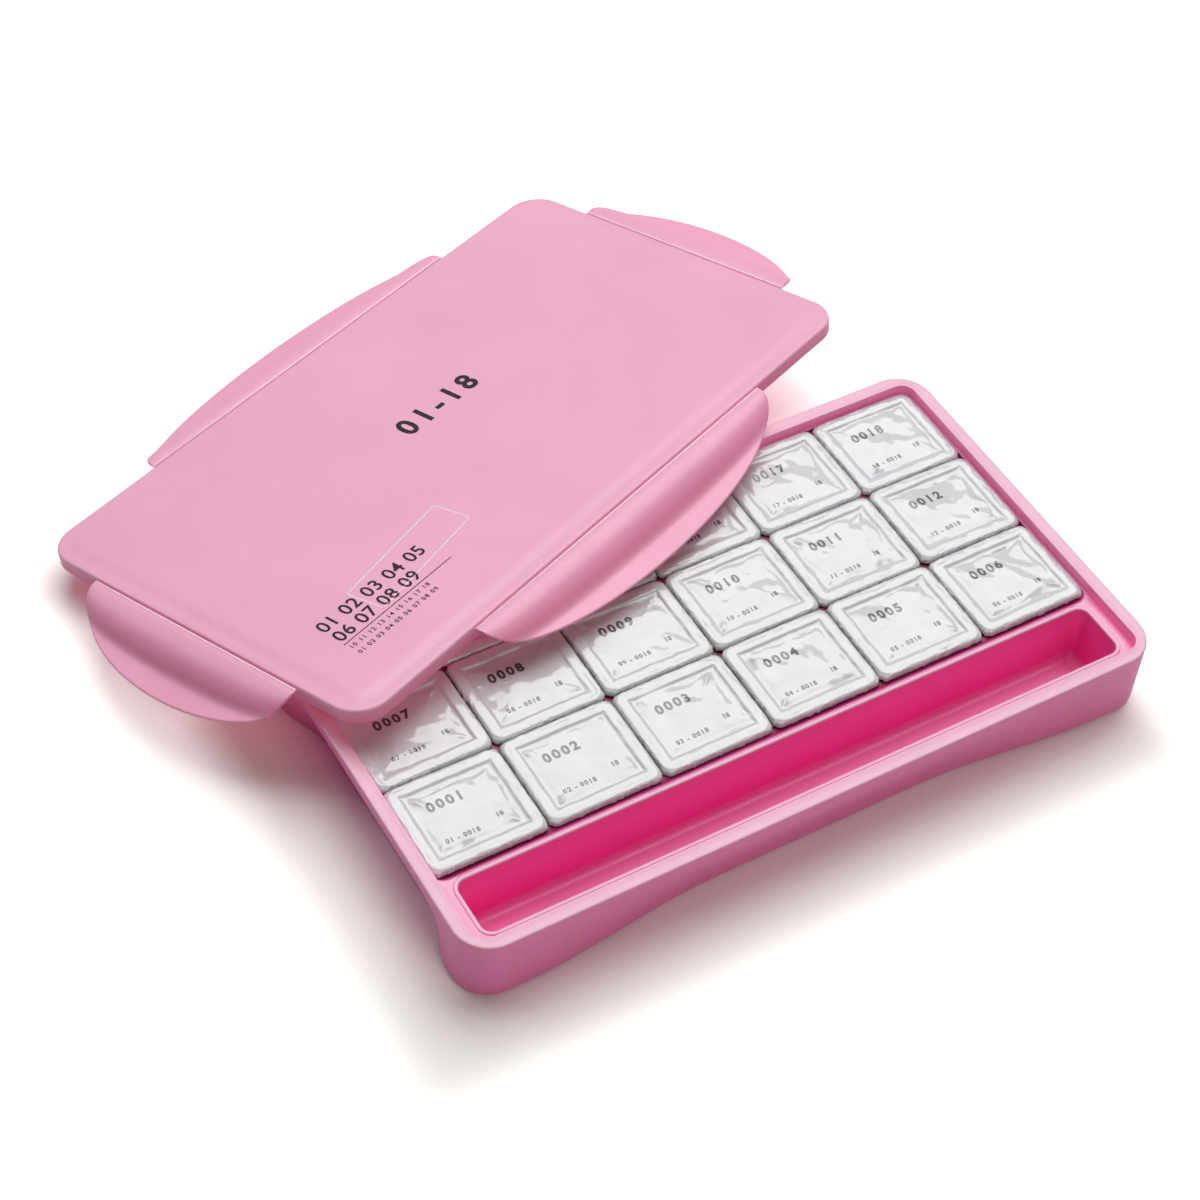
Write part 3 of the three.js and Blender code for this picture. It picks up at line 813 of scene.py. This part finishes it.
def foil_height(wrinkles, half, seed, x, y):
    """The seal's height at a place on it, over the level of its border."""
    inset = rounded_inset(x, y, half)
    stray = LINE_STRAY * (ripple(x, y, 6, seed + 20) + 0.4 * ripple(x, y, 2, seed + 30))
    calm = smooth((inset - CALM_WIDTH) / CALM_WIDTH)
    base = interpolate(FOIL_PROFILE, inset + stray * calm)
    if inset < BORDER_WIDTH:
        pressed = max(EMBOSSING + EMBOSSING_SPREAD * ripple(x, y, 6, seed + 40), 0)
        base = base * (1 + (pressed - 1) * calm)
    edge = FOIL_PROFILE[-1][0]
    panel = smooth((inset - edge) / (min(half.x, half.y) - edge))
    share = smooth((inset - PANEL_START) / PANEL_FADE)
    border = sum(rise * ripple(x, y, size, seed) for rise, size in BORDER_DENTS)
    return base + FOIL_CENTRE_RISE * panel + share * wrinkles(x, y) + (1 - share) * border


def rounded_inset(x, y, half):
    """How far a place lies inside a seal's outline."""
    across = abs(x) - (half.x - FOIL_RADIUS)
    along = abs(y) - (half.y - FOIL_RADIUS)
    outside = math.hypot(max(across, 0), max(along, 0))
    return FOIL_RADIUS - outside - min(max(across, along), 0)


def interpolate(table, place):
    for (start, low), (end, high) in zip(table, table[1:]):
        if place <= end:
            share = max(place - start, 0) / (end - start)
            return low + (high - low) * share
    return table[-1][1]


def make_foil(index, number):
    """A seal: its underside, its crimped skirt, its border and its wrinkled panel."""
    rng = random.Random(SEAL_SEED + index)
    low, high = node_box(f"foil_{number}")
    centre = (low + high) / 2
    half = (high - low) / 2
    wrinkles = make_wrinkles(rng, half)
    seed = rng.uniform(0, 50)
    tilt = Matrix.Identity(4)
    for axis, most in SEAL_TILTS:
        tilt = Matrix.Rotation(math.radians(rng.uniform(-most, most)), 4, axis) @ tilt
    lift = SEAL_RAISE + rng.uniform(*SEAL_LIFTS)
    place = Matrix.Translation((centre.x, centre.y, high.z + lift)) @ tilt
    shape = Shape()

    def surface(x, y):
        return foil_height(wrinkles, half, seed, x, y)

    def outline(inset):
        radius = max(SKIRT_RADIUS - 0.4 * inset, 1.6)
        return loop(2 * (half.x - inset), 2 * (half.y - inset), radius, SEAL_STEPS)

    rings = [shape.ring(outline(inset), fall) for inset, fall in FOIL_UNDERSIDE[::-1]]
    for inset, fall in FOIL_PROFILE:
        points = []
        loose = 1 - smooth(inset / LOOSE_WIDTH)
        for x, y in outline(inset):
            frill, crinkle = (ripple(x, y, size, seed) for size in CRIMP_SIZES)
            away = Vector((x, y)).normalized() * (
                SEAL_WAVE * ripple(x, y, 9, seed + 50) - FOIL_SPREAD
                + loose * (CRIMP_INSET + CRIMPS_IN[0] * frill + CRIMPS_IN[1] * crinkle))
            height = surface(x, y) + loose * (CRIMPS_UP[0] * frill + CRIMPS_UP[1] * crinkle)
            points.append((x - away.x, y - away.y, max(height, fall - LOWEST_CRIMP)))
        rings.append(shape.raw_ring(points, loose))
    inner = outline(FOIL_PROFILE[-1][0])
    for step in range(1, FOIL_RINGS):
        share = 1 - step / FOIL_RINGS
        rings.append(shape.raw_ring(
            [(x * share, y * share, surface(x * share, y * share)) for x, y in inner]))
    shape.loft(rings)
    shape.fan(rings[-1], (0, 0, surface(0, 0)))
    shape.cap(rings[0], up=False)
    make_piece(f"seal_{number}", shape, f"cup_{number}", foil_white,
               [f"foil_{number}"], place)
    make_print(number, surface, place)


# Plain numbers

SEAL_PRINTS = (("00{}", 6.2, -12.8, 5.2, 1.35), ("{} - 0018", 2.9, -13.8, -11.2, 1.3),
               ("18", 3.1, 9.2, -8.6, 1.1))
PRINT_LIFT = 0.05
PRINT_EDGE = 0.7
PRINT_ROUNDS = 5
PRINT_WEIGHT = 0.045


def write(net, words, size, x, y, spacing, weight=PRINT_WEIGHT):
    """Adds upright figures to a flat net of faces."""
    text = bpy.data.curves.new("figures", "FONT")
    text.body = words
    text.size = size
    text.space_character = spacing
    text.offset = weight * size
    text.resolution_u = 4
    carrier = put("figures", text)
    flat = bpy.data.meshes.new_from_object(
        carrier.evaluated_get(bpy.context.evaluated_depsgraph_get()))
    flat.transform(Matrix.Translation((x, y, 0)))
    net.from_mesh(flat)
    bpy.data.objects.remove(carrier)
    bpy.data.meshes.remove(flat)
    bpy.data.curves.remove(text)


def lay(net, surface):
    """A net's faces as a shape that follows a surface."""
    bmesh.ops.triangulate(net, faces=net.faces[:])
    for _ in range(PRINT_ROUNDS):
        long_edges = [edge for edge in net.edges if edge.calc_length() > PRINT_EDGE]
        if not long_edges:
            break
        bmesh.ops.subdivide_edges(net, edges=long_edges, cuts=1)
        bmesh.ops.triangulate(net, faces=[face for face in net.faces if len(face.verts) > 3])
    shape = Shape()
    for vertex in net.verts:
        x, y = vertex.co.x, vertex.co.y
        shape.raw_ring([(x, y, surface(x, y) + PRINT_LIFT)])
    net.verts.index_update()
    for face in net.faces:
        corners = [vertex.index for vertex in face.verts]
        shape.faces.append(corners if face.normal.z > 0 else corners[::-1])
    net.free()
    return shape


def make_print(number, surface, place):
    """The seal's plain numbers, in grey ink that follows the foil's wrinkles."""
    net = bmesh.new()
    for words, *setting in SEAL_PRINTS:
        write(net, words.format(number), *setting)
    make_piece(f"number_{number}", lay(net, surface), f"cup_{number}", ink_grey, (), place)


# Lid

joints = {joint["name"]: joint for joint in frame["joints"]}


def hinge(side):
    joint = joints[f"flap_{side}_fold"]
    return Vector(joint["pos_m"]) / MM, Vector(joint["axis"]).normalized()


back_crease, lid_along = hinge("back")
front_crease, _ = hinge("front")
left_crease, lid_across = hinge("left")
right_crease, _ = hinge("right")
lid_up = lid_along.cross(lid_across).normalized()
lid_centre = (back_crease + front_crease) / 2 + lid_up * CREASE_DROP
lid_width = (back_crease - front_crease).length - 2 * CREASE_OFFSET
lid_length = (right_crease - left_crease).length - 2 * CREASE_OFFSET
long_flap = LONG_FLAP_SHARE * lid_length
short_flap = SHORT_FLAP_SHARE * lid_width


def basis(centre, along, across, up):
    place = Matrix.Identity(4)
    for column, axis in enumerate((along, across, up)):
        place.col[column] = (*axis, 0)
    place.col[3] = (*centre, 1)
    return place


lid_place = basis(lid_centre, lid_along, lid_across, lid_up)


# Distance in from the lid's edge, and height over its face
LID_TOP = (
    (0.0, -1.0), (0.06, -0.66), (0.26, -0.31), (0.6, -0.08), (1.0, 0.0), (2.8, 0.03), (4.4, 0.04),
    (5.4, 0.08), (6.4, 0.19), (7.4, 0.34), (8.4, 0.5), (9.4, 0.63), (10.4, 0.71), (11.4, 0.75),
    (13.0, 0.76))
LID_FACE = LID_TOP[-1][1]
LID_BEVEL = 0.7
# Depths: a painted glow on the lid's underside stands in for light that comes through it, and painted shade
# deepens the pink on the skirt and the strips
UNDER_GLOW = -0.6
SKIRT_SHADE = 0.6
STRIP_SHADE = 0.3


def strip(shape, length, distance, turn):
    """The edge that stands out from the lid's side and thins down to the crease."""
    thin = CREASE_THICKNESS / 2
    reach = CREASE_OFFSET - CREASE_GAP
    section = [(-SKIRT_THICKNESS / 2, -STRIP_THICKNESS), (0, -STRIP_THICKNESS), (reach, -thin),
               (reach, thin), (reach * 0.7, thin * 0.7), (reach * 0.35, -thin * 2.2),
               (0, -thin * 2.6), (-SKIRT_THICKNESS / 2, -thin * 2.6)]
    rings = []
    for end in (-length / 2, length / 2):
        points = [turn @ Vector((end, distance + out, up - CREASE_DROP)) for out, up in section]
        rings.append(shape.raw_ring(points))
        # Painted shade on the strip's upper side
        for index in rings[-1][4:]:
            shape.depths[index] = STRIP_SHADE
    shape.bridge(rings[0], rings[1])
    shape.faces.append(tuple(rings[0]))
    shape.faces.append(tuple(reversed(rings[1])))


def make_lid():
    """The lid with its skirt, the ring inside it and the strips that the flaps hang on."""
    shape = Shape()
    plug_inset = RIM_WIDTH + PLUG_CLEARANCE - (tray_length - lid_length) / 2
    plug_bottom = -SKIRT_DEPTH - PLUG_DROP

    def level(inset, height, depth=0.0):
        radius = max(LID_RADIUS - inset, SKIRT_THICKNESS)
        points = loop(lid_length - 2 * inset, lid_width - 2 * inset, radius, LID_STEPS)
        return shape.ring(points, height, depth)

    plug_inner = plug_inset + PLUG_THICKNESS
    ceiling = -LID_THICKNESS
    # The depths paint a glow on the underside and shade on the skirt
    profile = [(plug_inner + 0.5, ceiling, UNDER_GLOW), (plug_inner, ceiling - 0.5, UNDER_GLOW),
               (plug_inner, plug_bottom + 0.4, UNDER_GLOW / 2),
               (plug_inner - 0.4, plug_bottom, 0.0), (plug_inset + 0.4, plug_bottom, 0.0),
               (plug_inset, plug_bottom + 0.4, UNDER_GLOW / 2),
               (plug_inset, ceiling - 0.3, UNDER_GLOW), (plug_inset - 0.3, ceiling, UNDER_GLOW),
               (SKIRT_THICKNESS + 0.3, ceiling, UNDER_GLOW),
               (SKIRT_THICKNESS, ceiling - 0.3, UNDER_GLOW),
               (SKIRT_THICKNESS, 0.2 - SKIRT_DEPTH, 0.2),
               (SKIRT_THICKNESS - 0.2, -SKIRT_DEPTH, 0.0), (LID_BEVEL, -SKIRT_DEPTH, 0.0),
               (0.12, LID_BEVEL - 0.15 - SKIRT_DEPTH, 0.0),
               (0.0, LID_BEVEL + 0.1 - SKIRT_DEPTH, SKIRT_SHADE), (0.0, -1.8, SKIRT_SHADE / 2)]
    rings = [level(*entry) for entry in (*profile, *LID_TOP)]
    shape.loft(rings)
    shape.cap(rings[0], up=False)
    shape.cap(rings[-1])
    for turns in (0, 2, 1, 3):
        length, span = (short_flap, lid_length) if turns % 2 else (long_flap, lid_width)
        strip(shape, length, span / 2, Matrix.Rotation(turns * math.pi / 2, 3, "Z"))
    make_piece("lid_moulding", shape, "lid", lid_plastic, ["lid_plate"], lid_place)


LID_FIGURES = (
    ("01-18", 15.2, -17.0, 11.4, 1.36, 0.03), ("01 02 03 04 05", 9.4, -130.6, -45.4, 1.06, 0.014),
    ("06 07 08 09", 9.4, -130.6, -54.4, 1.06, 0.014),
    ("10 11 12 13 14 15 16 17 18", 3.1, -130.9, -60.6, 1.3, 0.02),
    ("01 02 03 04 05 06 07 08 09", 3.1, -130.9, -65.2, 1.3, 0.02))
LID_OUTLINE = ((-46.5, -28.5), (-43.9, -46.2), (-106.1, -54.5), (-108.1, -36.4))
OUTLINE_WIDTH = 0.6
LID_RULE = ((-131.2, -56.4), (-67.6, -56.4))
RULE_WIDTH = 0.45


def band(net, start, end, width):
    """Adds a straight band between two points to a flat net of faces."""
    start, end = Vector(start), Vector(end)
    along = (end - start).normalized() * width / 2
    across = Vector((-along.y, along.x))
    corners = (start - along - across, end + along - across, end + along + across,
               start - along + across)
    net.faces.new([net.verts.new((*corner, 0)) for corner in corners])


def make_lid_print():
    """What is printed on the lid: the number of cups, a rule and a pale outline."""
    def face(x, y):
        return LID_FACE

    dark = bmesh.new()
    for setting in LID_FIGURES:
        write(dark, *setting)
    band(dark, *LID_RULE, RULE_WIDTH)
    make_piece("lid_number", lay(dark, face), "lid", ink_dark, (), lid_place)
    pale = bmesh.new()
    for index, corner in enumerate(LID_OUTLINE):
        band(pale, corner, LID_OUTLINE[(index + 1) % len(LID_OUTLINE)], OUTLINE_WIDTH)
    make_piece("lid_outline", lay(pale, face), "lid", crease_white, (), lid_place)


def flap_curve(strength):
    """A flap's section as shares of its reach (out, up): it swells from the crease, falls ever
    steeper into a valley and flares to its lip, which is nearly level with the crease."""
    points = [(0.0, 0.0)]
    up = 0.0
    for step in range(1, FLAP_CURVE_STEPS + 1):
        share = step / FLAP_CURVE_STEPS
        if share <= FLAP_VALLEY:
            slope = FLAP_START_SLOPE + (FLAP_STEEPEST_SLOPE - FLAP_START_SLOPE) * (
                share / FLAP_VALLEY) ** FLAP_SWEEP
        else:
            slope = FLAP_STEEPEST_SLOPE * (1 - smooth((share - FLAP_VALLEY) / FLAP_TURN))
        up += slope / FLAP_CURVE_STEPS
        points.append((share, up))
    lowest = FLAP_VALLEY + FLAP_TURN / 3
    flare = FLAP_RETURN * up
    return [(out, strength * (height - flare * max((out - lowest) / (1 - lowest), 0) ** 1.25))
            for out, height in points]


def make_flap(side, length, strength, reach):
    """A latch flap, drawn as sections across it from one end of its crease to the other."""
    table = flap_curve(strength)
    shape = Shape()
    rings = []
    for station in range(FLAP_STATIONS + 1):
        across = -math.cos(math.pi * station / FLAP_STATIONS)
        belly = max(1 - across * across, 0)
        end = max(reach * belly ** FLAP_OUTLINE_POWER, CREASE_GAP + FLAP_THICKNESS)
        scale = max(reach * max(belly, 0.02) ** FLAP_BOW_FOLLOW, end)
        top, under = [], []
        for row in range(FLAP_ROWS + 1):
            out = CREASE_GAP + (end - CREASE_GAP - FLAP_THICKNESS / 2) * row / FLAP_ROWS
            height = interpolate(table, out / scale) * scale
            slope = (interpolate(table, out / scale + 0.01)
                     - interpolate(table, max(out / scale - 0.01, 0))) / 0.02
            normal = Vector((-slope, 1)).normalized()
            share = min(out / FLAP_TAPER, 1)
            half = (CREASE_THICKNESS + (FLAP_THICKNESS - CREASE_THICKNESS) * share) / 2
            top.append((out + normal.x * half, height + normal.y * half))
            under.append((out - normal.x * half, height - normal.y * half))
        tip = (Vector(top[-1]) + Vector(under[-1])) / 2
        spoke = Vector(top[-1]) - tip
        outward = Vector((spoke.y, -spoke.x))
        rounding = []
        for step in range(1, FLAP_LIP_STEPS):
            angle = math.pi * step / FLAP_LIP_STEPS
            rounding.append(tuple(tip + spoke * math.cos(angle) + outward * math.sin(angle)))
        section = [*under, *rounding[::-1], *top[::-1]]
        x = across * length / 2
        ring = shape.raw_ring([(x, out, up) for out, up in section])
        # Painted shade across the flap, and a painted glow on its underside
        for index, (out, _) in zip(ring, section):
            past = out / scale - FLAP_VALLEY
            near = past / (FLAP_TURN if past > 0 else FLAP_VALLEY)
            shape.depths[index] = (FLAP_SHADE_DEPTHS[0] + FLAP_SHADE_DEPTHS[1] * max(1 - abs(near), 0) ** 2
                                   + FLAP_SHADE_DEPTHS[2] * smooth(near))
        for index in ring[:FLAP_ROWS + 1]:
            shape.depths[index] = UNDER_GLOW / 2
        rings.append(ring)
    shape.loft(rings[::-1])
    for ring, turn in ((rings[0], 1), (rings[-1], -1)):
        shape.faces.append(tuple(ring[::turn]))
    crease, axis = hinge(side)
    place = basis(crease, axis, lid_up.cross(axis), lid_up)
    spread = Matrix.Rotation(-math.radians(FLAP_ANGLES[side]), 4, "X")
    make_piece(f"flap_{side}_moulding", shape, f"flap_{side}", lid_plastic,
               [f"lid_flap_{side}"], place @ spread)
    make_crease(side, length, place)


def make_crease(side, length, place):
    """The whitened line along the crease."""
    shape = Shape()
    half_width, half_height = CREASE_LINE
    out, up = CREASE_LINE_PLACE
    end = length / 2 - CREASE_LINE_MARGIN
    rings = []
    for share, x in ((0.3, -end - 0.3), (1, -end), (1, end), (0.3, end + 0.3)):
        angles = [math.tau * step / CREASE_LINE_STEPS for step in range(CREASE_LINE_STEPS)]
        rings.append(shape.raw_ring([(x, half_width * share * math.cos(angle) + out,
                                      half_height * share * math.sin(angle) + up)
                                     for angle in angles]))
    shape.loft(rings)
    shape.faces.append(tuple(rings[0][::-1]))
    shape.faces.append(tuple(rings[-1]))
    make_piece(f"crease_{side}", shape, "lid", crease_white, (), place)


# The set

make_tray()
for cup_index, cup_number in enumerate(numbers):
    make_cup(cup_number)
    make_foil(cup_index, cup_number)
make_lid()
make_lid_print()
make_flap("back", long_flap, PRESSED_CURVE_SHARE, PRESSED_FLAP_REACH)
make_flap("front", long_flap, 1.0, FLAP_REACH)
make_flap("left", short_flap, 1.0, FLAP_REACH)
make_flap("right", short_flap, 1.0, FLAP_REACH)

slots = {entry["slot"]: entry for entry in frame["record"]["materials"]}
for cup_number in numbers:
    paint_name = f"paint_{cup_number}"
    paint_tone = tuple(part ** 2.2 for part in slots[paint_name]["base_color"][:3])
    node = frame["nodes"][paint_name]
    node.data.materials.clear()
    node.data.materials.append(paint_material(f"gouache_{cup_number}", paint_tone))


# Floor, light and camera

FLOOR_REACH = 4
FLOOR_LEVEL = -0.05 * MM
FLOOR_TONE = 0.84
FLOOR_SEEN = (1.0, 0.998, 0.97)
# The floor glows from the first distance on, in metres, and more towards the second
FLOOR_GLOW = 0.4
FLOOR_FADE = (0.0, 0.03)
FLOOR_FAR = (0.5, 1.5)
# Both shaded patches lie this far from the tray and the lid, and the lid's is a shorter one
SHADOW_SHIFT = Vector((-18, -17, 0))
PATCH_SHORTENING = 90
PATCH_MOVE = -15


def floor_gap(nodes, centre, turn, size):
    """How far a place on the floor is from a rectangle that lies on it."""
    mapping = nodes.add("ShaderNodeMapping", vector_type="TEXTURE")
    nodes.fill(mapping, Vector=nodes.place(), Location=(centre.x * MM, centre.y * MM, 0),
               Rotation=(0, 0, turn))
    value = mapping.outputs["Vector"]
    for operation in ("ABSOLUTE", "SUBTRACT", "MAXIMUM", "LENGTH"):
        step = nodes.add("ShaderNodeVectorMath", operation=operation)
        nodes.link(value, step.inputs[0])
        if operation == "SUBTRACT":
            step.inputs[1].default_value = Vector((*size, 0)) / 2 * MM
        value = step.outputs["Value" if operation == "LENGTH" else "Vector"]
    return value


def make_floor():
    """A pale floor that goes to plain white, for the camera alone, away from the shadows."""
    mesh = bpy.data.meshes.new("floor")
    corners = [(x * FLOOR_REACH, y * FLOOR_REACH, FLOOR_LEVEL)
               for x, y in ((-1, -1), (1, -1), (1, 1), (-1, 1))]
    mesh.from_pydata(corners, [], [(0, 1, 2, 3)])
    nodes = Nodes(bpy.data.materials.new("pale_floor"))
    lid_turn = math.atan2(lid_along.y, lid_along.x)
    nearest = nodes.combine(
        "MINIMUM", floor_gap(nodes, SHADOW_SHIFT, 0.0, (tray_length, tray_width)),
        floor_gap(nodes, lid_centre + SHADOW_SHIFT + PATCH_MOVE * lid_along, lid_turn,
                  (lid_length - PATCH_SHORTENING, lid_width)))
    white = nodes.combine(
        "ADD", nodes.spread(nearest, 0, FLOOR_GLOW, *FLOOR_FADE, "SMOOTHSTEP"),
        nodes.spread(nearest, 0, 1 - FLOOR_GLOW, *FLOOR_FAR, "SMOOTHSTEP"))
    seen = nodes.add("ShaderNodeLightPath").outputs["Is Camera Ray"]
    nodes.set(Base_Color=nodes.mix(seen, (FLOOR_TONE,) * 3, FLOOR_SEEN), Roughness=0.8,
              Specular_IOR_Level=0.1, Emission_Color=(1, 1, 1, 1),
              Emission_Strength=nodes.combine("MULTIPLY", seen, white))
    mesh.materials.append(nodes.block)
    floor = put("floor", mesh)


LIGHT_TARGET = Vector((0, 0.05, 0.02))
LIGHT_DISTANCE = 2.25
AMBIENT_LEVEL = 0.03


def make_lamp(name, bearing, elevation, size, power, tint=(1, 1, 1)):
    """A softbox that faces the set, from a bearing (degrees from +X) and an elevation."""
    light = bpy.data.lights.new(name, "AREA")
    light.color = tint
    light.shape = "RECTANGLE"
    light.size, light.size_y = size
    light.energy = power
    lamp = put(name, light)
    across, above = math.radians(bearing), math.radians(elevation)
    direction = Vector((math.cos(across) * math.cos(above), math.sin(across) * math.cos(above),
                        math.sin(above)))
    lamp.location = LIGHT_TARGET + direction * LIGHT_DISTANCE
    lamp.rotation_euler = (-direction).to_track_quat("-Z", "Y").to_euler()


def make_world():
    """Plain white for the camera and in reflections, with next to no light of its own."""
    world = bpy.data.worlds.new("studio")
    nodes = Nodes(world, "Background")
    rays = nodes.add("ShaderNodeLightPath")
    seen = rays.outputs["Is Camera Ray"]
    for kind in ("Is Glossy Ray", "Is Transmission Ray"):
        seen = nodes.combine("MAXIMUM", seen, rays.outputs[kind])
    nodes.set(Color=(1, 1, 1, 1), Strength=nodes.spread(seen, AMBIENT_LEVEL, 1, 0, 1))
    bpy.context.scene.world = world


def make_camera():
    data = bpy.data.cameras.new("camera")
    data.sensor_width = SENSOR_WIDTH
    data.lens = FOCAL_PIXELS / IMAGE_SIDE * SENSOR_WIDTH
    data.clip_start = 0.05
    data.clip_end = 20
    camera = put("camera", data)
    right = CAMERA_RIGHT.normalized()
    up = (CAMERA_UP - CAMERA_UP.dot(right) * right).normalized()
    camera.matrix_world = basis(CAMERA_PLACE * MM, right, up, right.cross(up))
    bpy.context.scene.camera = camera


make_floor()
make_world()
make_lamp("key", 51, 63, (2.2, 1.9), 51)
make_lamp("front_fill", 270, 35, (0.9, 0.9), 9.4, (1, 0.93, 0.8))
make_lamp("back_fill", 128, 40, (0.9, 0.9), 5.6)
make_camera()
bpy.context.scene.view_settings.view_transform = "Standard"
